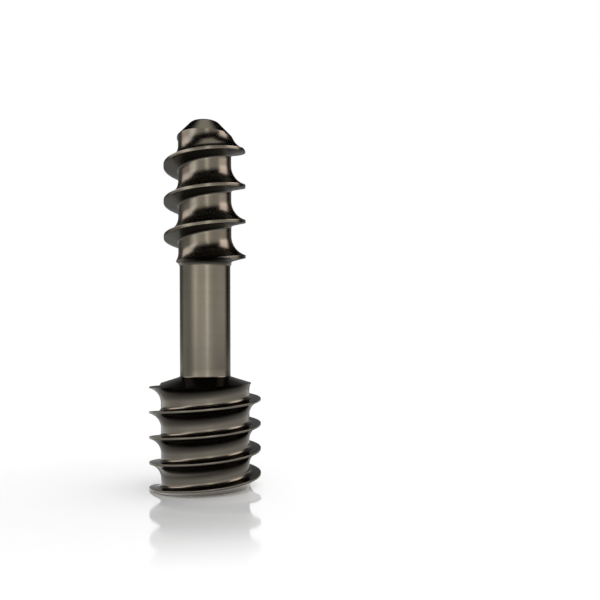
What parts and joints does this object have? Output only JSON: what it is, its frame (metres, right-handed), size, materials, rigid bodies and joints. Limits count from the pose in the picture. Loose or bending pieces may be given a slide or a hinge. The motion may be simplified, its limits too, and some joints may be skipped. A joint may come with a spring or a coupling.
{
  "type": "orthopedic bone screw",
  "caption": "Headless compression bone screw: blunt tip, coarse leading thread, smooth shank, and a wider, finer trailing thread on a head with a lobed drive socket.",
  "frame": {"origin": "centre of the flat end face with the drive socket, on the screw's axis; the screw stands on this face", "axes": "+Z along the axis towards the blunt tip; +X is the side where the head thread's crest is a little over half a pitch above the end face"},
  "size_m": [0.004, 0.004, 0.0134],
  "materials": {
    "titanium": null
  },
  "bodies": {
    "root": {"bone_screw": "titanium"}
  },
  "joints": []
}
